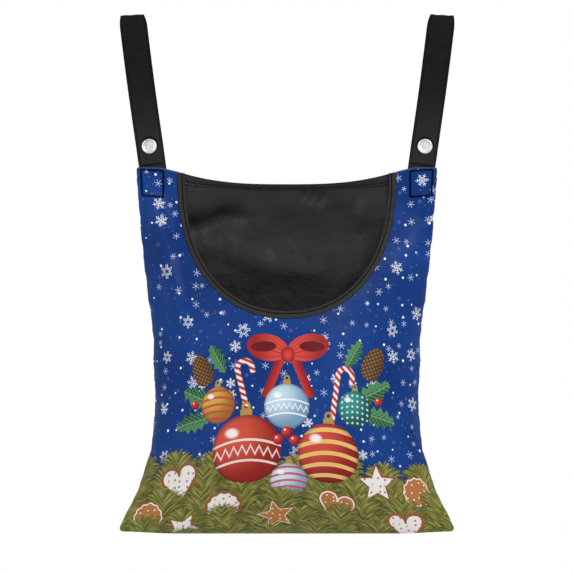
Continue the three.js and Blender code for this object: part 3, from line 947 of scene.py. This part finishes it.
hem_x = np.linspace(-hem_reach, hem_reach, 281)
hem_points = []
for down, inward in hem_section:
    hem_z = back_top(hem_x) - down * hem_size(hem_x)
    wave = 0.00020 * np.sin(hem_x * 760 + 2 * np.sin(hem_x * 131)) * smooth_step(0.004, 0.008, down)
    hem_points.append(np.stack([hem_x, back_skin(hem_x, hem_z) - inward - wave, hem_z + wave], axis=-1))
hem_flat = np.stack(np.broadcast_arrays(1000 * hem_x, -1000 * np.array(hem_section)[:, :1]), axis=-1)
hem = new_cloth("back_hem_fold", np.array(hem_points)[::-1], hem_flat[::-1])
finish_cloth(hem, 0.0006)
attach(hem, "root")
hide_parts("back_hem")
hem.data.materials.append(lining_cloth)


def thread_look(name, dark, light):
    """Twisted sewing thread: two plies that wind round each other, with painted shade in the groove between
    them.
    """
    thread = new_look(name, light, 0.62, 0.06)
    place = add_node(thread.node_tree, "TexCoord", {}).outputs["Object"]
    inputs = {"Vector": place, "Scale": 420.0, "Distortion": 0.6}
    twist = add_node(thread.node_tree, "TexWave", inputs, bands_direction="DIAGONAL")
    ply = Number(twist.outputs["Fac"])
    # Painted shade: the thread's colour goes dark in the groove between its plies.
    feed(thread, "Base Color", lay(dark, light, ply))
    feed(thread, "Roughness", eased(ply, 0.0, 1.0, 0.75, 0.5).socket)
    emboss(thread, ply, 0.00012)
    return thread


seam_thread = thread_look("seam_thread", (0.0012, 0.0012, 0.0013), (0.0075, 0.0075, 0.0080))


def drawn_out(along_x, corners, rings):
    """A closed round shape along X or Y, extruded from a circle ring by ring, each a middle and a radius."""
    bpy.ops.object.select_all(action="DESELECT")
    middle, radius = rings[0]
    bpy.ops.mesh.primitive_circle_add(
        vertices=corners,
        radius=radius,
        fill_type="NGON",
        location=middle,
        rotation=(0, math.pi / 2, 0) if along_x else (math.pi / 2, 0, 0),
    )
    bpy.ops.object.mode_set(mode="EDIT")
    bpy.ops.mesh.select_all(action="SELECT")
    for next_middle, next_radius in rings[1:]:
        move = tuple(np.subtract(next_middle, middle))
        bpy.ops.mesh.extrude_region_move(TRANSFORM_OT_translate={"value": move, "orient_type": "GLOBAL"})
        growth = next_radius / radius
        size = (1, growth, growth) if along_x else (growth, 1, growth)
        bpy.ops.transform.resize(value=size, center_override=next_middle)
        middle, radius = next_middle, next_radius
    bpy.ops.mesh.select_all(action="SELECT")
    bpy.ops.mesh.normals_make_consistent(inside=False)
    bpy.ops.object.mode_set(mode="OBJECT")
    bpy.ops.object.transform_apply(location=True, rotation=True, scale=True)
    return bpy.context.object


def one_stitch(length, thickness):
    """One stitch, drawn along X from a circle of eight points, thin and sunk at its ends."""
    radius = thickness / 2
    steps = [(-0.50, 0.35, -0.8), (-0.42, 0.85, -0.3), (-0.22, 1.0, 0.0), (0.0, 1.05, 0.08)]
    steps += [(-along, size, lift) for along, size, lift in reversed(steps[:3])]
    rings = [((along * length, 0, lift * radius), size * radius) for along, size, lift in steps]
    stitch = drawn_out(True, 8, rings)
    bpy.ops.object.shade_smooth()
    return stitch


def sew(name, stitch, thread, places):
    """Copies one stitch to each place, given as a middle, the way along and the way up from the cloth."""
    corners = np.array([corner.co for corner in stitch.data.vertices])
    sides = [list(polygon.vertices) for polygon in stitch.data.polygons]
    points = []
    faces = []
    for middle, along, up in places:
        along = np.array(along) / np.linalg.norm(along)
        up = np.array(up) - along * np.dot(up, along)
        up = up / np.linalg.norm(up)
        aside = np.cross(up, along)
        first = len(points)
        for a, b, c in corners:
            points.append(np.array(middle) + along * a + aside * b + up * c)
        faces += [[first + corner for corner in side] for side in sides]
    mesh = bpy.data.meshes.new(name)
    mesh.from_pydata([tuple(point) for point in points], [], faces)
    mesh.update()
    mesh.materials.append(thread)
    return smooth_piece(mesh)


def face_way(face, x, z, sign):
    """The way straight out of a cloth face, to the front where sign is -1 and to the back where it is 1."""
    step = 0.0005
    slope_x = (face(x + step, z) - face(x - step, z)) / (2 * step)
    slope_z = (face(x, z + step) - face(x, z - step)) / (2 * step)
    return (float(-slope_x * sign), sign, float(-slope_z * sign))


seam_stitch = one_stitch(0.0029, 0.0008)
hem_stitch_reach = 0.1110
hem_stitch_pitch = 0.0030
hem_groove = 0.0018
hem_places = []
for spot_x in np.arange(-hem_stitch_reach, hem_stitch_reach + 0.0001, hem_stitch_pitch):
    spot_z = float(back_top(spot_x) - hem_stitch_line * hem_size(spot_x))
    slope = float(back_top(spot_x + 0.001) - back_top(spot_x - 0.001)) / 0.002
    skin = float(back_skin(spot_x, spot_z))
    inner_way = face_way(back_skin, spot_x, spot_z, -1)
    outer_way = face_way(back_skin, spot_x, spot_z, 1)
    hem_places.append(((spot_x, skin - hem_groove, spot_z), (1, 0, slope), inner_way))
    outer_x = spot_x + hem_stitch_pitch / 2
    hem_places.append(((outer_x, skin + 0.0001, spot_z), (1, 0, slope), outer_way))
hem_thread = sew("back_hem_thread", seam_stitch, seam_thread, hem_places)
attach(hem_thread, "root")


# Mouth binding: a bias strip of dark grey cloth folded over the cut edge of the mouth, from one top corner
# round to the other. A stitched groove leaves a rounded lip along the opening.
binding_cloth = new_look("binding", (0.026, 0.0255, 0.0255), 0.7, 0.12)
binding_side = [
    (-1.30, 0.25), (-1.20, 0.80), (-0.90, 1.32), (-0.40, 1.64), (0.15, 1.68), (0.65, 1.46), (1.00, 1.02),
    (1.25, 0.68), (1.50, 0.68), (1.75, 1.10), (2.10, 1.52), (2.70, 1.78), (3.50, 1.80), (4.30, 1.70),
    (4.90, 1.58), (5.30, 1.50), (5.60, 1.34), (5.82, 1.05), (5.90, 0.68),
]
binding_section = [(along, -out) for along, out in reversed(binding_side)] + binding_side
fine_mouth = resample(mouth_line, np.linspace(0, 1, 601))
flow = np.gradient(fine_mouth, axis=0)
flow = flow / np.hypot(*flow.T)[:, None]
outward = np.stack([flow[:, 1], -flow[:, 0]], axis=-1)
mouth_length = path_length(fine_mouth)
binding_pucker = 0.00010 * np.sin(mouth_length * 1500) + 0.00012 * np.sin(mouth_length * 410 + 1)


def panel_middle(x, z):
    """The middle of the front panel, where the binding is folded round it."""
    return front_skin(x, z, skin_out / 2)


binding_points = []
for along, out in binding_section:
    share = 1.0 if along > 2 else 0.4
    spot = fine_mouth + outward * (along / 1000 + share * binding_pucker)[:, None]
    depth = panel_middle(spot[:, 0], spot[:, 1]) - out / 1000
    depth = depth - binding_pucker * share * np.sign(out)
    binding_points.append(np.stack([spot[:, 0], depth, spot[:, 1]], axis=-1))
binding_across = np.cumsum([0] + [math.dist(*pair) for pair in zip(binding_section, binding_section[1:])])
binding_flat = np.stack(np.broadcast_arrays(binding_across, 1000 * mouth_length[:, None]), axis=-1)
binding = new_cloth("mouth_binding_strip", np.array(binding_points).swapaxes(0, 1), binding_flat)
place, threads = raise_weave(binding_cloth, 0.55, 0.012, 4.0, 0.10)
vary_gloss(binding_cloth, place, 0.15, 0.62, 0.80)
grey = lay((0.023, 0.0225, 0.0225), (0.040, 0.039, 0.038), mottle(place, 0.25, 2.0))
across, up = apart(place)
off_middle = abs(across - binding_across[-1] / 2)
# Painted shade: the binding is darkened along the stitched groove between its lip and its band.
grey = lay(grey, (0.006, 0.006, 0.006), eased(abs(off_middle - 4.2), 0.2, 0.9, 0.75, 0.0))
# Painted shade: the binding's outer edge, where it turns down onto the panel, is darkened.
grey = lay(grey, (0.008, 0.008, 0.009), eased(off_middle, 8.3, 9.3, 0.0, 0.8))
# Painted shade: the binding is darkened in the hollows between the threads of the weave.
grey = lay(grey, (0.004, 0.004, 0.004), eased(threads, -1.0, 1.0, 0.25, 0.0))
feed(binding_cloth, "Base Color", grey)
finish_cloth(binding, 0.0004)
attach(binding, "root")
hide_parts("mouth_binding")
binding.data.materials.append(binding_cloth)
groove_in = 0.00138
groove_out = 0.00082
groove_places = []
for length in np.arange(0.0020, mouth_length[-1] - 0.0010, 0.0029):
    spot = np.array([np.interp(length, mouth_length, line) for line in fine_mouth.T])
    way = np.array([np.interp(length, mouth_length, line) for line in flow.T])
    spot = spot + np.array([way[1], -way[0]]) * groove_in
    skin = float(panel_middle(*spot))
    for sign in (-1, 1):
        middle = (spot[0], skin + sign * groove_out, spot[1])
        groove_places.append((middle, (way[0], 0, way[1]), face_way(panel_middle, *spot, sign)))
groove_thread = sew("mouth_binding_thread", seam_stitch, seam_thread, groove_places)
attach(groove_thread, "root")


# Straps: flat black webbing, each one length that is sewn into a top corner of the bag, goes up behind, folds
# over the line and comes down in front to its press stud. The front leaf opens at the fold, so it is a piece
# of its own that meets the back leaf where the fold starts.
left_and_right = ((-1, "left"), (1, "right"))
strap_spacing = 0.2928
strap_lean = math.radians(7.65)
fold_height = -0.0040
fold_radius = 0.00475
tail_end = -0.1732
leaf_end = -0.1412
leaf_curl = 0.0016
strap_shift = 0.0003
cap_along = 134.4
webbing_cloth = new_look("webbing", (0.0105, 0.0105, 0.011), 0.8, 0.06)
place, threads = raise_weave(webbing_cloth, 1.1, 0.030, 9.0, 0.15)
vary_gloss(webbing_cloth, place, 0.10, 0.70, 0.88)
across, up = apart(place)
black = lay((0.0075, 0.0075, 0.0078), (0.0125, 0.0123, 0.0123), mottle(place, 0.12, 3.0))
# Painted light: the webbing is made lighter towards the lower ends of its leaf and tail.
black = lay(black, (0.0330, 0.0325, 0.0320), eased(abs(up), 60.0, 160.0, 0.0, 0.75))
# Painted shade: the webbing is darkened in the hollows between the threads of its weave.
black = lay(black, (0.0015, 0.0015, 0.0015), eased(threads, -1.0, 0.4, 0.5, 0.0))
black = lay(black, (0.0030, 0.0030, 0.0030), eased(abs(across), 11.4, 12.4, 0.0, 0.8))
# Painted shadow: the webbing is darkened under and just round the press stud's cap.
black = lay(black, (0.0020, 0.0020, 0.0020), eased(distance(across, up - cap_along), 7.4, 8.8, 0.8, 0.0))
feed(webbing_cloth, "Base Color", black)


def strap_place(side, across, depth, height):
    """A point given along one strap, turned by the strap's lean. side is -1 on the left and 1 on the right.
    The strap bows a little to its outer side, and at its fold it is narrower and not quite level."""
    bow = 0.0005 * math.sin(math.pi * min(max(height / -0.124, 0), 1))
    near_fold = min(max((height + 0.012) / 0.01275, 0), 1) ** 2
    across = across * (1 - 0.13 * near_fold)
    dip = side * across * 0.079 - 0.0004 + 0.00018 * math.sin(across * 620 + side)
    height = height + near_fold * dip
    across = across + side * bow + strap_shift
    lean = side * strap_lean
    return (
        side * strap_spacing / 2 + across * math.cos(lean) + height * math.sin(lean),
        depth,
        height * math.cos(lean) - across * math.sin(lean),
    )


webbing_half = 12.30
webbing_out = 0.75
webbing_seam = 10.75
webbing_edge = [(0.30, -0.66), (0.48, -0.40), (0.55, 0.0), (0.48, 0.40), (0.30, 0.66)]
webbing_face = [(-webbing_half, webbing_out), (-11.5, webbing_out), (-11.0, 0.68), (-webbing_seam, 0.56)]
webbing_face += [(-10.5, 0.68), (-10.0, webbing_out)]
webbing_face += [(step, webbing_out) for step in (-7.5, -5, -2.5, 0, 2.5, 5, 7.5)]
webbing_face += [(-across, out) for across, out in reversed(webbing_face[:6])]
webbing_section = [(webbing_half + out, height) for out, height in webbing_edge]
webbing_section += [(-across, out) for across, out in webbing_face]
webbing_section += [(-webbing_half - out, -height) for out, height in webbing_edge]
webbing_section += [(across, -out) for across, out in webbing_face]


def strap_piece(name, side, path, first_length):
    """Webbing along a path of (depth, height) points, with its length as the pattern's second coordinate."""
    path = np.array(path)
    steps = np.gradient(path, axis=0)
    steps = steps / np.hypot(*steps.T)[:, None]
    points = []
    flat = []
    for (depth, height), (run_depth, run_height), run in zip(path, steps, path_length(path)):
        ring = []
        for across, out in webbing_section:
            ring_depth = depth + run_height * out / 1000
            ring_height = height - run_depth * out / 1000
            ring.append(strap_place(side, across / 1000, ring_depth, ring_height))
            flat.append((across, run * 1000 + first_length))
        points.append(ring)
    flat = np.array(flat).reshape(len(path), len(webbing_section), 2)
    piece = new_cloth(name, np.array(points), flat, closed_across=True)
    close_ends(piece, len(webbing_section))
    piece.data.materials.append(webbing_cloth)
    return piece


def strap_stitches(side, path):
    """The stitches along both edges of a strap, on the side that faces out of its fold."""
    path = np.array(path)
    length = path_length(path)
    step = 0.0002
    steps_out = 3.1
    places = []
    for run in np.arange(0.0020, length[-1] - 0.0015, 0.0030):
        for across in (-webbing_seam / 1000, webbing_seam / 1000):
            spot = np.array([np.interp(run, length, line) for line in path.T])
            way = np.array([np.interp(run + step, length, line) for line in path.T]) - spot
            out = np.array([way[1], -way[0]])
            middle = spot + out * steps_out
            start = np.array(strap_place(side, across, *middle))
            along = strap_place(side, across, *(middle + way)) - start
            up = strap_place(side, across, *(middle + out)) - start
            places.append((start, along, up))
    return places


def bend_at_fold(piece, side):
    """Bakes a piece of the leaf's placement into its mesh. The two points it works out just below the fold,
    where the leaf opens, are not used.
    """
    strap_place(side, 0, -0.0055, -0.0040)
    strap_place(side, 0, -0.0055, -0.0140)
    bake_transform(piece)


tail_path = []
set_back_from = -0.108
set_back_bend = 0.09
for height in np.linspace(tail_end, fold_height, 120):
    rise = (height - set_back_from) / (fold_height - set_back_from)
    set_back = (rise + math.hypot(rise, set_back_bend)) / 2
    tail_path.append((seam_plane + (fold_radius - seam_plane) * min(set_back, 1.0), height))
leaf_path = []
for turn in np.linspace(0, math.pi, 33):
    leaf_path.append((fold_radius * math.cos(turn), fold_height + fold_radius * math.sin(turn)))
for height in np.linspace(fold_height, leaf_end, 110)[1:]:
    curl = smooth_step(0.1300, 0.1430, -height)
    leaf_path.append((-fold_radius + leaf_curl * float(curl), height))
for side, word in left_and_right:
    tail = strap_piece(word + "_strap_tail", side, tail_path, 1000 * (tail_end - fold_height))
    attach(tail, "root")
    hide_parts(word + "_strap_back")
    leaf = strap_piece(word + "_strap_leaf", side, leaf_path, 0.0)
    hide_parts(word + "_strap_front")
    bend_at_fold(leaf, side)
    leaf_thread = sew(word + "_strap_leaf_thread", seam_stitch, seam_thread, strap_stitches(side, leaf_path))
    bend_at_fold(leaf_thread, side)
    tail_thread = sew(word + "_strap_tail_thread", seam_stitch, seam_thread, strap_stitches(side, tail_path))
    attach(tail_thread, "root")
bpy.data.objects.remove(seam_stitch)


# Corner stitches: at each top corner a box of thick dark thread is sewn through the front, the strap's tail
# and the back. Each stitch is a short length of thread that dips into the cloth at both ends.
box_corners = [(0.1166, -0.1712), (0.1366, -0.1696), (0.1380, -0.1451), (0.1167, -0.1465)]


def box_places(side, face, sign):
    """The stitches round one corner's box, on the front where sign is -1 and on the back where it is 1."""
    places = []
    for corner in range(4):
        start = np.array(box_corners[corner]) * (side, 1)
        run = np.array(box_corners[(corner + 1) % 4]) * (side, 1) - start
        count = round(float(np.hypot(*run)) / 0.0026)
        for number in range(count):
            spot_x, spot_z = start + run * (number + 0.5) / count
            depth = float(face(spot_x, spot_z)) + sign * 0.00015
            out = face_way(face, spot_x, spot_z, sign)
            places.append(((spot_x, depth, spot_z), (run[0], 0, run[1]), out))
    return places


box_thread = thread_look("box_thread", (0.0006, 0.0012, 0.009), (0.0026, 0.005, 0.026))
box_stitch = one_stitch(0.0028, 0.0019)
for side, word in left_and_right:
    for face, sign, where in ((front_face, -1, "front"), (back_face, 1, "back")):
        ring = sew(f"{word}_corner_thread_{where}", box_stitch, box_thread, box_places(side, face, sign))
        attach(ring, "root")
        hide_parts(f"{word}_corner_stitch_{where}")
bpy.data.objects.remove(box_stitch)


# Press studs: nickel-plated brass in four turned parts on each strap. A dished cap and a spring socket are
# riveted through the front leaf, and a stud on a plate and its backing post through the back leaf.
stud_x = 0.1301
stud_z = -0.12345
nickel = new_look("snap_metal", (0.68, 0.68, 0.67), 0.32, 0.5)
nickel.node_tree.nodes["Principled BSDF"].inputs["Metallic"].default_value = 1.0
metal_place = add_node(nickel.node_tree, "TexCoord", {}).outputs["Object"]


def worn(scale, detail):
    """Uneven noise from 0 to 1 over the metal."""
    inputs = {"Vector": metal_place, "Scale": scale, "Detail": detail}
    return Number(add_node(nickel.node_tree, "TexNoise", inputs).outputs[0])


tarnish = eased(worn(260.0, 4.0), 0.40, 0.72)
feed(nickel, "Base Color", lay((0.63, 0.63, 0.62), (0.52, 0.515, 0.505), tarnish))
feed(nickel, "Roughness", eased(worn(700.0, 3.0), 0.3, 0.7, 0.24, 0.42).socket)
emboss(nickel, worn(1900.0, 2.0), 0.00003)
cap_profile = [
    (1.4, -1.8), (1.4, 0.0), (6.6, 0.0), (7.10, 0.25), (7.25, 0.7), (7.15, 1.3), (6.8, 1.8), (6.35, 2.05),
    (5.85, 2.05), (5.55, 1.85), (5.35, 1.50), (5.0, 1.36), (3.0, 1.40), (0.2, 1.44),
]
socket_profile = [
    (6.0, 0.0), (6.0, 0.75), (5.85, 1.0), (5.5, 1.1), (5.0, 1.0), (4.6, 1.0), (4.3, 1.35), (3.8, 1.4),
    (3.2, 1.4), (2.75, 1.3), (2.5, 1.05), (2.5, 0.5), (0.2, 0.45),
]
stud_profile = [
    (1.4, -0.3), (1.4, 0.0), (6.0, 0.0), (6.0, 0.45), (5.8, 0.75), (5.3, 0.9), (4.4, 0.75), (2.6, 0.75),
    (1.9, 0.95), (1.5, 1.15), (1.5, 1.35), (1.8, 1.5), (2.0, 1.62), (1.95, 1.78), (1.6, 1.9), (0.2, 1.9),
]
post_profile = [
    (1.4, -1.8), (1.4, 0.0), (4.6, 0.0), (5.0, 0.2), (5.0, 0.45), (4.7, 0.7), (4.2, 0.8), (3.0, 0.78),
    (2.4, 0.6), (1.6, 0.5), (1.2, 0.6), (0.2, 0.62),
]


def turned_part(name, side, depth, way, profile):
    """A round part of a press stud, drawn from a circle of 64 points. way is -1 where it faces the front."""
    rings = []
    for radius, out in profile:
        middle = (side * stud_x + strap_shift, depth + way * out / 1000, stud_z)
        rings.append((middle, radius / 1000))
    part = drawn_out(False, 64, rings)
    part.name = name
    part.data.name = name
    bpy.ops.object.shade_smooth_by_angle(angle=math.radians(40))
    part.data.materials.append(nickel)
    return part


for side, word in left_and_right:
    for kind, body, depth, way, profile in (
        ("cap", word + "_flap", -0.0058, -1, cap_profile),
        ("socket", word + "_flap", -0.0037, 1, socket_profile),
        ("stud", "root", -0.0011, -1, stud_profile),
        ("post", "root", 0.0010, 1, post_profile),
    ):
        part = turned_part(f"{word}_press_{kind}", side, depth, way, profile)
        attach(part, body)
        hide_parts(f"{word}_snap_{kind}")


# Light and surroundings: a plain pale floor well below the hanging bag, even light from all round, and two
# soft lamps, from the upper right and from the left. The surroundings show white to the camera and in
# reflections, but light the bag only about half as strongly.
bpy.context.scene.view_settings.view_transform = "Standard"
studio = bpy.data.worlds.new("studio")
bpy.context.scene.world = studio
studio.use_nodes = True
sky = studio.node_tree.nodes["Background"]
sky.inputs["Color"].default_value = (1, 1, 1, 1)
rays = add_node(studio.node_tree, "LightPath", {}).outputs
seen = Number(rays["Is Camera Ray"]).above(Number(rays["Is Glossy Ray"]))
strength = add_node(studio.node_tree, "MapRange", {"Value": seen, "To Min": 0.52, "To Max": 1.0})
studio.node_tree.links.new(strength.outputs[0], sky.inputs["Strength"])
for name, place, aim, energy, size in (
    ("key_light", (1.2, -1.9, 0.9), (0, 0, -0.25), 30, 0.9),
    ("fill_light", (-1.6, -1.7, 0.2), (0, 0, -0.3), 12, 1.6),
):
    bpy.ops.object.light_add(type="AREA", location=place)
    lamp = bpy.context.object
    lamp.name = name
    lamp.data.energy = energy
    lamp.data.size = size
    toward = np.array(aim) - np.array(place)
    turn = math.atan2(toward[0], toward[1])
    tilt = math.atan2(-toward[2], math.hypot(toward[0], toward[1]))
    lamp.rotation_euler = (math.pi / 2 - tilt, 0, -turn)
bpy.ops.mesh.primitive_plane_add(size=4.0, location=(0, 0, -0.75))
floor = bpy.context.object
floor.name = "floor"
floor.data.materials.append(new_look("floor_paint", (0.9, 0.9, 0.9), 1.0, 0.0))
